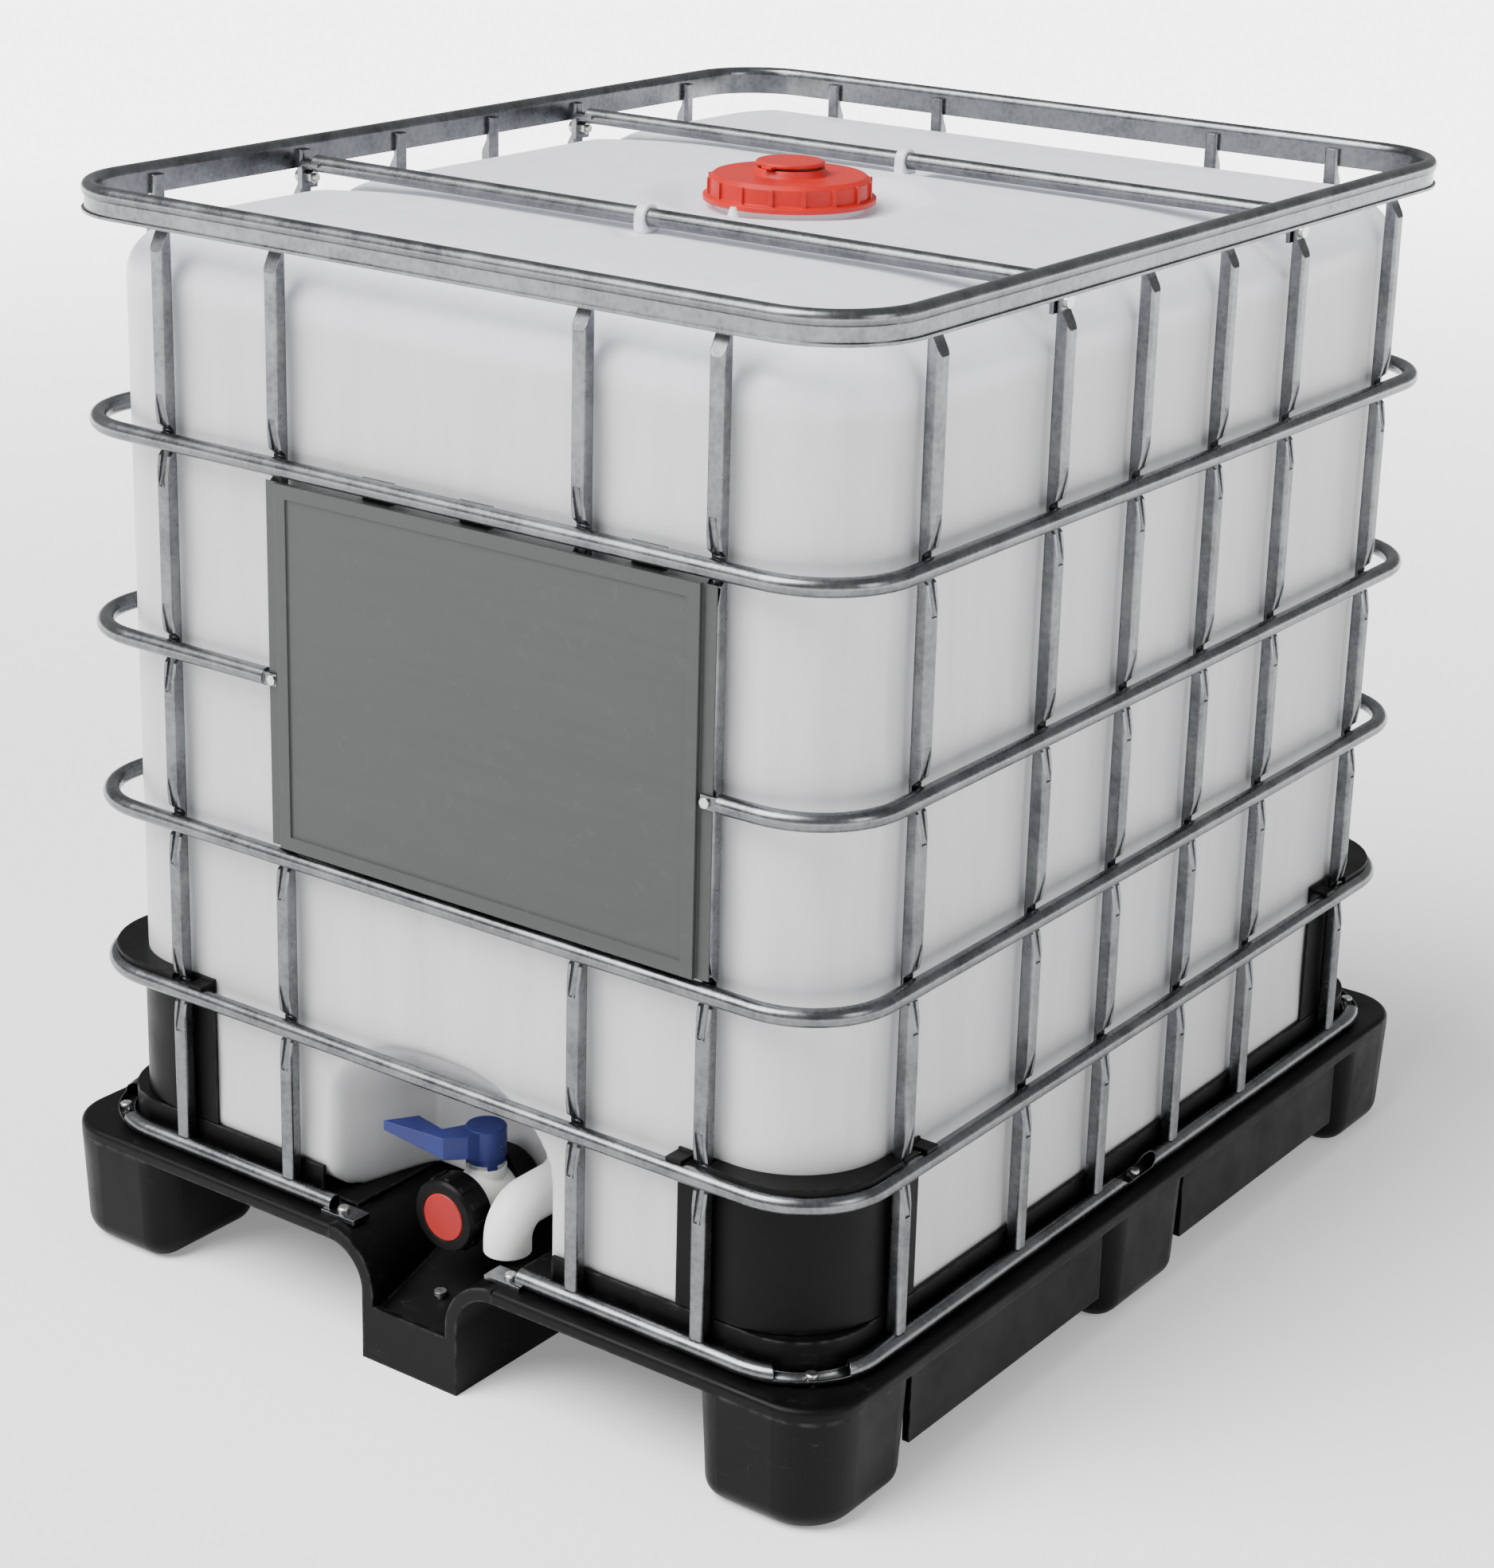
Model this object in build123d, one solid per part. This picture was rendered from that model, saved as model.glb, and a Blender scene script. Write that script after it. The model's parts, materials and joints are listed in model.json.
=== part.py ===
"""Intermediate bulk container: a plastic bottle in a galvanised tube cage on a plastic pallet.

Millimetres, +Z up.  The origin is on the ground at the middle of the pallet.  The front, with
the drain valve and the label plate, faces -Y.  Each piece is written as parts/NODE.step.
"""
import math
import os
from build123d import *

# ------------------------------------------------------------------ driving dimensions
# pallet
pallet_width = 1000.0          # along X, the front
pallet_length = 1200.0         # along Y, the sides
pallet_corner_radius = 60.0
pallet_rim_z = 132.0           # top of the rim that carries the bottom rail
deck_underside_z = 118.0
deck_top_z = 138.0             # the bottle stands here
deck_skin = 6.0
rim_edge_radius = 6.0
deck_rib = 4.0
deck_rib_pitch = 95.0
corner_foot_width = 155.0      # along X
corner_foot_length = 160.0     # along Y
centre_foot_width = 124.0
middle_foot_length = 170.0
foot_wall = 6.0
foot_taper = 3.0               # degrees
foot_edge_radius = 22.0
foot_corner_radius = 34.0
skirt_recess = 10.0
skirt_thickness = 8.0
skirt_bottom_z = 35.0
kerb_height = 30.0             # above the deck
kerb_thickness = 4.5
trough_wall = 14.0
trough_shoulder_radius = 45.0
trough_floor_z = 52.0          # at the front lip
trough_slope = 19.0            # degrees, rising to the rear
trough_length = 186.0
trough_lip_height = 8.0

# cage
cage_inset_x = 22.0            # pallet side to the centre line of the hoops
cage_inset_y = 24.5
hoop_diameter = 18.0
hoop_corner_radius = 88.0      # on the centre line
tube_wall = 1.2
bottom_rail_inset = 3.0        # hoop centre line to bottom rail centre line
crush_height = 8.0             # what is left of the rail at a screw
crush_half_length = 24.0
crush_run_out = 24.0
valve_gap_half_width = 86.0
rail_tongue_length = 44.0
rail_tongue_thickness = 5.0
rail_tongue_width = 24.0
first_hoop_rise = 176.0        # bottom rail to the lowest hoop
hoop_pitch = 185.0             # the three lowest hoops
upper_hoop_pitch = 213.0
top_rail_rise = 241.0          # top hoop to the top of the top rail
top_rail_height = 31.0
top_rail_depth = 16.5
top_rail_wall = 1.5
upright_size = 16.0
upright_inset = 6.0            # hoop centre line to upright centre line
front_upright_x = (185.4, pallet_width / 2 - 164.5)
side_upright_y = (78.0, 230.0, pallet_length / 2 - 156.6)
dent_half_length = 10.0
dent_shoulder_depth = 4.5
dent_shoulder_run = 6.0
dent_run_out = 30.0
dent_groove_radius = 4.4
crossbar_diameter = 18.0
crossbar_drop = 25.0           # top of the top rail to the crossbar centre line
crossbar_tongue = 4.0
crossbar_bolt_radius = 4.0

# label plate
plate_sheet = 1.0
plate_side_flange = 15.0
plate_rise = 6.0
plate_gap = 4.5                # to the hoops above and below

# bottle
bottle_gap = 5.0               # to the inner face of the uprights
bottle_corner_radius = 100.0
bottle_bottom_radius = 40.0
bottle_top_radius = 60.0
bottle_wall = 3.0
bottle_top_drop = 31.0         # top of the top rail to the top of the bottle
bar_groove_depth = 9.0
bar_groove_half_width = 17.0
hook_x = -9.0
hook_half_width = 6.0
hook_radius = 12.5
recess_half_width = 150.0
recess_depth = 126.0
recess_top_rise = 204.0        # deck to the crown of the arch
recess_spring_rise = 100.0
recess_margin = 20.0           # bottle wall kept round the recess as one piece
neck_outer_radius = 78.0
neck_inner_radius = 73.0
neck_height = 28.0
neck_well_radius = 150.0
neck_well_depth = 14.0

# lid
lid_skirt_radius = 84.0
lid_flange_radius = 90.0
lid_wall = 4.0
lid_clearance = 0.6
lid_rib_count = 16
gasket_thickness = 3.0
vent_flange_radius = 36.0
vent_thread_radius = 25.0

# valve, on the bottle's centre line
valve_rise = 17.0              # deck to the valve axis
valve_bore_radius = 25.0
outlet_outer_radius = 30.5
outlet_length = 22.0
valve_thread_radius = 30.0
valve_length = 85.0
stem_radius = 5.0
stem_from_face = 26.0          # valve inlet face to the stem axis
handle_height = 31.0
handle_top_rise = 77.0         # above the valve axis
cap_ring_radius = 38.0
cap_ring_length = 31.0

# elbow spout, stowed beside the valve
spout_radius = 24.0
spout_wall = 3.0
spout_bend_radius = 30.0
spout_x = 73.0
spout_flange = 2.5
spigot_length = 18.0
spout_mouth_length = 12.0

# ------------------------------------------------------------------ derived places
half_width = pallet_width / 2
half_length = pallet_length / 2
hoop_x = half_width - cage_inset_x
hoop_y = half_length - cage_inset_y
tube_radius = hoop_diameter / 2
rail_x = hoop_x - bottom_rail_inset
rail_y = hoop_y - bottom_rail_inset + 1.0
rail_z = pallet_rim_z + tube_radius
hoop_z = [rail_z + first_hoop_rise]
hoop_z.append(hoop_z[0] + hoop_pitch)
hoop_z.append(hoop_z[1] + hoop_pitch)
hoop_z.append(hoop_z[2] + upper_hoop_pitch)
overall_height = hoop_z[3] + top_rail_rise
top_rail_bottom_z = overall_height - top_rail_height
upright_x = hoop_x - upright_inset
upright_y = hoop_y - upright_inset
upright_half = upright_size / 2
upright_inner_x = upright_x - upright_half
upright_inner_y = upright_y - upright_half
bottle_x = upright_inner_x - bottle_gap
bottle_y = upright_inner_y - bottle_gap
bottle_top_z = overall_height - bottle_top_drop
bottle_base_top_z = deck_top_z + recess_top_rise + 16
valve_z = deck_top_z + valve_rise
crossbar_z = overall_height - crossbar_drop
crossbar_y = side_upright_y[1]
bolt_z = top_rail_bottom_z - 9.0


def save(node, shape):
    """Write one node; a list of separate solids becomes one compound."""
    if isinstance(shape, (list, tuple)):
        shape = Compound(children=[solid for item in shape for solid in item.solids()])
    export_step(shape, f"parts/{node}.step")


def block(x0, x1, y0, y1, z0, z1):
    """A box given by its two corners."""
    size = (x1 - x0, y1 - y0, z1 - z0)
    return Pos((x0 + x1) / 2, (y0 + y1) / 2, (z0 + z1) / 2) * Box(*size)


def cylinder_y(radius, y0, y1, x=0.0, z=0.0):
    """A round bar along Y from y0 to y1."""
    return Pos(x, (y0 + y1) / 2, z) * Rot(90, 0, 0) * Cylinder(radius, y1 - y0)


def cylinder_x(radius, x0, x1, y=0.0, z=0.0):
    """A round bar along X from x0 to x1."""
    return Pos((x0 + x1) / 2, y, z) * Rot(0, 90, 0) * Cylinder(radius, x1 - x0)


def cylinder_z(radius, z0, z1, x=0.0, y=0.0):
    """A round bar along Z from z0 to z1."""
    return Pos(x, y, (z0 + z1) / 2) * Cylinder(radius, z1 - z0)


def ring_z(outer, inner, z0, z1, x=0.0, y=0.0):
    """A flat ring about Z."""
    return cylinder_z(outer, z0, z1, x, y) - cylinder_z(inner, z0 - 1, z1 + 1, x, y)


def ring_y(outer, inner, y0, y1, x=0.0, z=0.0):
    """A flat ring about Y."""
    return cylinder_y(outer, y0, y1, x, z) - cylinder_y(inner, y0 - 1, y1 + 1, x, z)


def rounded_prism(half_x, half_y, radius, z0, z1):
    """An upright prism on a rectangle with round corners."""
    return Pos(0, 0, z0) * extrude(RectangleRounded(2 * half_x, 2 * half_y, radius), z1 - z0)


def rod(start, end, radius):
    """A round bar between two points."""
    line = Vector(*end) - Vector(*start)
    low_end = (Align.CENTER, Align.CENTER, Align.MIN)
    return Plane(origin=start, z_dir=line) * Cylinder(radius, line.length, align=low_end)


def turned(points):
    """A solid of revolution about Z from (radius, z) points."""
    return revolve(Plane.XZ * make_face(Polyline(*points, close=True)), Axis.Z)


def profile_x(points, x0, x1):
    """A prism along X from (y, z) points."""
    face = make_face(Polyline(*[(0, y, z) for y, z in points], close=True))
    return Pos(x0, 0, 0) * extrude(face, x1 - x0, dir=(1, 0, 0))


def four_corners(shape):
    """The same shape mirrored into the four quarters."""
    front = [shape, mirror(shape, Plane.YZ)]
    return front + [mirror(item, Plane.XZ) for item in front]


# ------------------------------------------------------------------ pallet
def foot(x0, x1, y0, y1, outer_radius):
    """A moulded foot: a tapered cup, closed at the ground and open under the deck."""
    def tapered(inset, depth, edge):
        block_form = RectangleRounded(x1 - x0 - 2 * inset, y1 - y0 - 2 * inset, outer_radius - inset)
        block_form = Pos((x0 + x1) / 2, (y0 + y1) / 2) * block_form
        limit = RectangleRounded(pallet_width - 2 * inset, pallet_length - 2 * inset,
                                 pallet_corner_radius - inset)
        body = Pos(0, 0, deck_underside_z) * extrude(block_form & limit, -depth, taper=foot_taper)
        return fillet(body.faces().sort_by(Axis.Z)[0].edges(), edge)

    outer = tapered(0, deck_underside_z, foot_edge_radius)
    inner = tapered(foot_wall, deck_underside_z - foot_wall, foot_edge_radius - foot_wall / 2)
    return outer - inner


def feet():
    """Four corner feet, two middle side feet, the centre foot and the rear centre foot."""
    radius = foot_corner_radius
    corner = foot(half_width - corner_foot_width, half_width,
                  half_length - corner_foot_length, half_length, radius)
    side = foot(half_width - corner_foot_width, half_width,
                -middle_foot_length / 2, middle_foot_length / 2, radius)
    half_centre = centre_foot_width / 2
    centre = foot(-half_centre, half_centre, -middle_foot_length / 2, middle_foot_length / 2, radius)
    rear = foot(-half_centre, half_centre, half_length - corner_foot_length, half_length, radius)
    return four_corners(corner) + [side, mirror(side, Plane.YZ), centre, rear]


def saddle(radius_extra, z_low):
    """Prism along Y of the channel whose two shoulders are arcs about the fork arches' centres."""
    centre_x = centre_foot_width / 2 + trough_shoulder_radius
    centre_z = deck_underside_z - trough_shoulder_radius
    radius = trough_shoulder_radius + radius_extra
    top = centre_z + radius
    high = deck_top_z + 60
    edge = [
        Line((-centre_x, high), (-centre_x, top)),
        CenterArc((-centre_x, centre_z), radius, 90, -90),
        Line((-centre_x + radius, centre_z), (-centre_x + radius, z_low)),
        Line((-centre_x + radius, z_low), (centre_x - radius, z_low)),
        Line((centre_x - radius, z_low), (centre_x - radius, centre_z)),
        CenterArc((centre_x, centre_z), radius, 180, -90),
        Line((centre_x, top), (centre_x, high)),
        Line((centre_x, high), (-centre_x, high)),
    ]
    face = Plane.XZ * make_face(edge)
    return Pos(0, -half_length + trough_length + 1, 0) * extrude(face, trough_length + 2, dir=(0, -1, 0))


def trough():
    """The front centre foot: its walls curve out into the deck and its floor slopes to a front lip."""
    half = centre_foot_width / 2
    reach = half + trough_shoulder_radius
    y0 = -half_length
    y1 = y0 + trough_length
    slab = block(-reach, reach, y0, y1, 0, pallet_rim_z)
    arch_z = deck_underside_z - trough_shoulder_radius
    arch = cylinder_y(trough_shoulder_radius, y0 - 1, y1 + 1, reach, arch_z)
    side = block(half, reach + 1, y0 - 1, y1 + 1, -1, arch_z)
    slab = slab - arch - mirror(arch, Plane.YZ) - side - mirror(side, Plane.YZ)
    rise = math.tan(math.radians(trough_slope))
    space = saddle(trough_wall, trough_floor_z)
    floor_end = trough_floor_z + rise * trough_length
    wedge = profile_x([(y0 - 1, 0), (y1 + 1, 0), (y1 + 1, floor_end), (y0 - 1, trough_floor_z)],
                      -reach - 1, reach + 1)
    space = space - wedge
    lip = block(-half, half, y0, y0 + 6, 0, trough_floor_z + trough_lip_height)
    hollow = block(-half + 10, half - 10, y0 + 10, y1 - 8, 8, trough_floor_z - 10)
    holes = [cylinder_z(4.2, 0, 200, 0, trough_screw_y())]
    holes += [cylinder_z(4.1, 0, 300, x, y) for x, y in rail_screw_places()[-2:]]
    return (slab - space + lip - hollow) - holes


def trough_screw_y():
    """The trough's fixing screw stands this far along Y."""
    return -half_length + 48.0


def trough_screw():
    """Screw through the trough's sloping floor."""
    y = trough_screw_y()
    rise = math.tan(math.radians(trough_slope))
    floor = trough_floor_z + rise * (y + half_length)
    seat = floor + 6.5 * rise + 0.1
    return cylinder_z(3.9, floor - 8, seat + 1, 0, y) + cylinder_z(6.5, seat, seat + 4.5, 0, y)


def kerb_ring(z0, z1):
    """The upstanding kerb round the bottle."""
    inner_x = bottle_x - 0.5
    inner_y = bottle_y - 0.5
    outer = rounded_prism(inner_x + kerb_thickness, inner_y + kerb_thickness, 75, z0, z1)
    return outer - rounded_prism(inner_x, inner_y, bottle_corner_radius - 1, z0 - 1, z1 + 1)


def deck():
    """Top moulding: skin, rim, underside ribs, kerb and the opening for the valve trough."""
    body = rounded_prism(half_width, half_length, pallet_corner_radius, deck_underside_z, pallet_rim_z)
    body = fillet(body.faces().sort_by(Axis.Z)[-1].edges(), rim_edge_radius)
    inner_x = bottle_x - 0.5
    inner_y = bottle_y - 0.5
    body += rounded_prism(inner_x, inner_y, bottle_corner_radius - 1, pallet_rim_z - 1, deck_top_z)
    kerb = kerb_ring(pallet_rim_z - 1, deck_top_z + kerb_height)
    gap = recess_half_width
    kerb -= block(-gap, gap, -half_length, -half_length + 120, pallet_rim_z, deck_top_z + kerb_height + 1)
    body += kerb
    count_x = int((pallet_width - 2 * deck_rib) // deck_rib_pitch)
    count_y = int((pallet_length - 2 * deck_rib) // deck_rib_pitch)
    step_x = (pallet_width - 24) / count_x
    step_y = (pallet_length - 24) / count_y
    depth = deck_top_z - deck_skin - deck_underside_z
    half = centre_foot_width / 2
    reach = half + trough_shoulder_radius
    pockets = []
    for i in range(count_x):
        for j in range(count_y):
            x = -half_width + 12 + step_x * (i + 0.5)
            y = -half_length + 12 + step_y * (j + 0.5)
            near_corner = abs(x) > half_width - 90 and abs(y) > half_length - 90
            near_trough = abs(x) < reach + step_x / 2 and y < -half_length + trough_length + step_y / 2
            near_rail = abs(x) + step_x / 2 > inner_x - 8 or abs(y) + step_y / 2 > inner_y - 8
            if near_corner or near_trough:
                continue
            height = depth - 6 if near_rail else depth
            cell = Box(step_x - deck_rib, step_y - deck_rib, height)
            pockets.append(Pos(x, y, deck_underside_z + height / 2) * cell)
    body = body - pockets
    body -= block(-reach, reach, -half_length - 1, -half_length + trough_length, 0, 200)
    grid = []
    for i in range(7):
        for j in range(2):
            x = reach + 18 + 34 * i
            y = -half_length + 70 + 34 * j
            if x < recess_half_width - 16:
                grid += [Pos(x, y, pallet_rim_z) * Box(28, 28, 6), Pos(-x, y, pallet_rim_z) * Box(28, 28, 6)]
    if grid:
        body = body - grid
    return body - [cylinder_z(4.1, 0, 300, x, y) for x, y in rail_screw_places()]


def skirts():
    """Four recessed side panels between the feet."""
    x1 = half_width - skirt_recess
    y0 = middle_foot_length / 2
    y1 = half_length - corner_foot_length
    panel = block(x1 - skirt_thickness, x1, y0, y1, skirt_bottom_z, deck_underside_z)
    return four_corners(panel)


# ------------------------------------------------------------------ cage
def ring_path(half_x, half_y, radius, z):
    """A closed rounded rectangle at height z."""
    return (Pos(0, 0, z) * RectangleRounded(2 * half_x, 2 * half_y, radius)).faces()[0].outer_wire()


def open_path(half_x, half_y, radius, z, x_left, x_right):
    """A rounded rectangle at height z that is open on the front from x_left to x_right."""
    a = half_x - radius
    b = half_y - radius
    edges = [
        Line((x_right, -half_y, z), (a, -half_y, z)),
        Pos(0, 0, z) * CenterArc((a, -b), radius, -90, 90),
        Line((half_x, -b, z), (half_x, b, z)),
        Pos(0, 0, z) * CenterArc((a, b), radius, 0, 90),
        Line((a, half_y, z), (-a, half_y, z)),
        Pos(0, 0, z) * CenterArc((-a, b), radius, 90, 90),
        Line((-half_x, b, z), (-half_x, -b, z)),
        Pos(0, 0, z) * CenterArc((-a, -b), radius, 180, 90),
        Line((-a, -half_y, z), (x_left, -half_y, z)),
    ]
    return Wire([edge.edges()[0] for edge in edges])


def closed_hoop(z):
    """One hoop: a bent tube welded into a ring."""
    path = ring_path(hoop_x, hoop_y, hoop_corner_radius, z)
    section = Plane(path @ 0, z_dir=path % 0) * (Circle(tube_radius) - Circle(tube_radius - tube_wall))
    return sweep(section, path)


def plate_left():
    """Left edge of the label plate."""
    return -front_upright_x[0] - upright_half


def plate_right():
    """Right edge of the label plate."""
    return front_upright_x[1] + upright_half


def cut_hoop(z):
    """The hoop that stops at the label plate, with flattened and drilled ends."""
    left = plate_left() - 6
    right = plate_right() + 6
    path = open_path(hoop_x, hoop_y, hoop_corner_radius, z, left, right)
    section = Plane(path @ 0, z_dir=path % 0) * (Circle(tube_radius) - Circle(tube_radius - tube_wall))
    tube = sweep(section, path)
    face = -upright_y - upright_half - plate_sheet
    ends = [(left, plate_left() + 12), (right, plate_right() - 12)]
    for x_tube, x_tip in ends:
        away = math.copysign(6, x_tube - x_tip)
        tube = tube + cylinder_x(tube_radius, *sorted((x_tube, x_tube + away)), -hoop_y, z)
        tongue = block(*sorted((x_tube + away / 2, x_tip)), face - 3, face, z - 6.5, z + 6.5)
        hole = x_tip - math.copysign(6, x_tip - x_tube)
        tube = tube + (tongue - cylinder_y(2.6, face - 10, face + 10, hole, z))
    return tube


def rail_screw_places():
    """Where the bottom rail is screwed to the pallet."""
    side = hoop_corner_radius * (1 - math.sqrt(0.5))
    tongue = valve_gap_half_width + 24
    places = [(sx * (rail_x - side), sy * (rail_y - side)) for sx in (-1, 1) for sy in (-1, 1)]
    places += [(-rail_x, 0.0), (rail_x, 0.0), (0.0, rail_y)]
    return places + [(-tongue, -rail_y), (tongue, -rail_y)]


def crush_cut(x, y, angle, lift):
    """The space pressed into the rail from above at a screw, with sloping ends."""
    floor = pallet_rim_z + crush_height + lift
    top = rail_z + tube_radius + 5
    flat = crush_half_length - lift
    run = flat + crush_run_out
    points = [(-flat, floor), (flat, floor), (run, top), (-run, top)]
    return Pos(x, y, 0) * Rot(0, 0, angle) * profile_x(points, -36, 36)


def bottom_rail():
    """Bottom rail: a tube round the pallet, crushed flat at each screw and open at the valve."""
    gap = valve_gap_half_width + rail_tongue_length - 8
    path = open_path(rail_x, rail_y, hoop_corner_radius, rail_z, -gap, gap)
    plane = Plane(path @ 0, z_dir=path % 0)
    outer = sweep(plane * Circle(tube_radius), path)
    inner = sweep(plane * Circle(tube_radius - tube_wall), path)
    angles = (-45, 45, 45, -45, 0, 0, 90)
    for (x, y), angle in zip(rail_screw_places(), angles):
        outer = outer - crush_cut(x, y, angle, 0)
        inner = inner - crush_cut(x, y, angle, tube_wall)
    rail = outer - inner
    for side in (-1, 1):
        x0, x1 = sorted((side * valve_gap_half_width, side * (gap + 8)))
        tongue = block(x0, x1, -rail_y - rail_tongue_width / 2, -rail_y + rail_tongue_width / 2,
                       pallet_rim_z, pallet_rim_z + rail_tongue_thickness)
        tongue -= cylinder_x(tube_radius - tube_wall, min(side * gap, side * (gap + 9)),
                             max(side * gap, side * (gap + 9)), -rail_y, rail_z)
        rail = rail + tongue
    holes = [cylinder_z(4.4, pallet_rim_z - 1, rail_z + 20, x, y) for x, y in rail_screw_places()]
    return rail - holes


def rail_screws():
    """Pan-head screws that hold the bottom rail on the pallet, and the one in the trough."""
    screws = []
    for index, (x, y) in enumerate(rail_screw_places()):
        seat = pallet_rim_z + (crush_height if index < 7 else rail_tongue_thickness)
        head = cylinder_z(6.5, seat, seat + 4.5, x, y)
        head = fillet(head.faces().sort_by(Axis.Z)[-1].edges(), 2.2)
        screws.append(head + cylinder_z(4.0, deck_underside_z - 4, seat + 1, x, y))
    return screws


def upright_outline(inset, z0, z1, dents, tip_z):
    """The outer form of one upright, or of its hollow when inset is the wall; outside is -Y."""
    size = upright_size - 2 * inset
    bar = Pos(0, 0, z0) * extrude(RectangleRounded(size, size, 4.0 - inset), z1 - z0)
    face = -upright_half
    floor = tube_radius - upright_inset + inset
    top_floor = top_rail_depth - tube_radius - upright_inset + inset
    shoulder = face + dent_shoulder_depth + inset
    for z in dents:
        flat = dent_half_length + inset
        step = flat + dent_shoulder_run
        run = step + dent_run_out
        points = [(face - 1, z - run), (shoulder, z - step), (floor, z - flat),
                  (floor, z + flat), (shoulder, z + step), (face - 1, z + run)]
        bar -= profile_x(points, -upright_size, upright_size)
        for way in (-1, 1):
            start = (0, floor - inset - 3.2, z + way * (dent_half_length - 2))
            end = (0, face - 1, z + way * run)
            bar -= rod(start, end, dent_groove_radius + inset)
    flat = tip_z - inset
    points = [(face - 1, flat - 20), (top_floor, flat), (top_floor, z1 + 1), (face - 1, z1 + 1)]
    bar -= profile_x(points, -upright_size, upright_size)
    return bar


def upright(dents, bolted):
    """One upright of square tube: dented where hoops cross, pinched at the top under the rail."""
    z0 = rail_z + tube_radius
    z1 = overall_height - 12
    tip = bolt_z - 8 if bolted else top_rail_bottom_z - 5
    outer = upright_outline(0, z0, z1, dents, tip)
    inner = upright_outline(tube_wall, z0 - 1, z1 - tube_wall, dents, tip)
    bar = outer - inner
    if bolted:
        bar -= cylinder_y(crossbar_bolt_radius + 0.3, -20, 20, 0, bolt_z)
    return bar


def upright_kinds():
    """The three kinds of upright: plain, behind the label plate, and drilled for a crossbar."""
    behind = [hoop_z[0], hoop_z[1], hoop_z[3]]
    return {
        "plain": upright(hoop_z, False),
        "behind": upright(behind, False),
        "drilled": upright(hoop_z, True),
    }


def uprights(side, kinds):
    """The row of uprights on one face of the cage."""
    row = []
    if side in ("front", "rear"):
        angle = 0 if side == "front" else 180
        for x in front_upright_x:
            for sign in (-1, 1):
                covered = side == "front" and plate_left() < sign * x < plate_right()
                bar = kinds["behind" if covered else "plain"]
                row.append(Rot(0, 0, angle) * Pos(sign * x, -upright_y, 0) * bar)
    else:
        angle = 90 if side == "right" else -90
        for y in side_upright_y:
            for sign in (-1, 1):
                bar = kinds["drilled" if abs(y - crossbar_y) < 1 else "plain"]
                row.append(Rot(0, 0, angle) * Pos(sign * y, -upright_x, 0) * bar)
    return row


def top_rail():
    """Top rail: a closed ring of rolled tube that the cage is lifted and stacked by."""
    outer_x = hoop_x + tube_radius
    outer_y = hoop_y + tube_radius
    mid = top_rail_depth / 2
    radius = hoop_corner_radius + tube_radius - mid
    path = ring_path(outer_x - mid, outer_y - mid, radius, 0)
    shapes = []
    for inset in (0, top_rail_wall):
        z_bulge = overall_height - mid
        bulge = mid - inset
        low = top_rail_bottom_z + inset
        profile = Pos(0, z_bulge) * Circle(bulge)
        profile += Pos(-1.375, (low + z_bulge) / 2) * Rectangle(13.75 - 2 * inset, z_bulge - low)
        if inset == 0:
            profile += Pos(1.625, low + 1.5) * Rectangle(13.25, 3)
        shapes.append(profile)
    section = shapes[0] - shapes[1]
    start = path @ 0
    direction = path % 0
    outward = direction.cross(Vector(0, 0, 1))
    if outward.dot(Vector(start.X, start.Y, 0)) < 0:
        outward = outward * -1
    plane = Plane(origin=(start.X, start.Y, 0), x_dir=outward, z_dir=outward.cross(Vector(0, 0, 1)))
    return sweep(plane * section, path)


def crossbar(sign):
    """A bar over the bottle: a tube with flat tongues that hang inside two uprights."""
    y = sign * crossbar_y
    end = upright_inner_x - 14
    radius = crossbar_diameter / 2
    tube = cylinder_x(radius, -end, end, y, crossbar_z)
    tube = tube - cylinder_x(radius - tube_wall, -end, end, y, crossbar_z)
    half = 12.0
    for side in (-1, 1):
        x_out = side * upright_inner_x
        hang = block(*sorted((x_out, x_out - side * crossbar_tongue)), y - half, y + half,
                     bolt_z - 12, crossbar_z + 2)
        shelf = block(*sorted((x_out, x_out - side * 26)), y - half, y + half,
                      crossbar_z - crossbar_tongue / 2, crossbar_z + crossbar_tongue / 2)
        shelf -= cylinder_x(radius - tube_wall, *sorted((side * (end - 20), side * end)), y, crossbar_z)
        hang -= cylinder_x(crossbar_bolt_radius + 0.3, *sorted((x_out + side, x_out - side * 9)), y, bolt_z)
        tube = tube + hang + shelf
    return tube


def crossbar_bolts():
    """Four bolts through the uprights; round heads outside."""
    bolts = []
    seat = hoop_x + tube_radius - top_rail_depth
    for side in (-1, 1):
        for sign in (-1, 1):
            y = sign * crossbar_y
            inner_end = upright_inner_x - crossbar_tongue - 11
            reach = sorted((side * inner_end, side * (seat + 1)))
            shank = cylinder_x(crossbar_bolt_radius, *reach, y, bolt_z)
            head = cylinder_x(7.0, *sorted((side * seat, side * (seat + 5))), y, bolt_z)
            bolts.append(shank + head)
    return bolts


def crossbar_nuts():
    """Hexagon nuts on the crossbar bolts, inside the cage."""
    nuts = []
    for side in (-1, 1):
        for sign in (-1, 1):
            x_face = side * (upright_inner_x - crossbar_tongue)
            body = extrude(RegularPolygon(7.5, 6), 6.5) - cylinder_z(crossbar_bolt_radius + 0.05, -1, 8)
            place = Pos(x_face, sign * crossbar_y, bolt_z) * Rot(0, -90 * side, 0)
            nuts.append(place * body)
    return nuts


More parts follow.
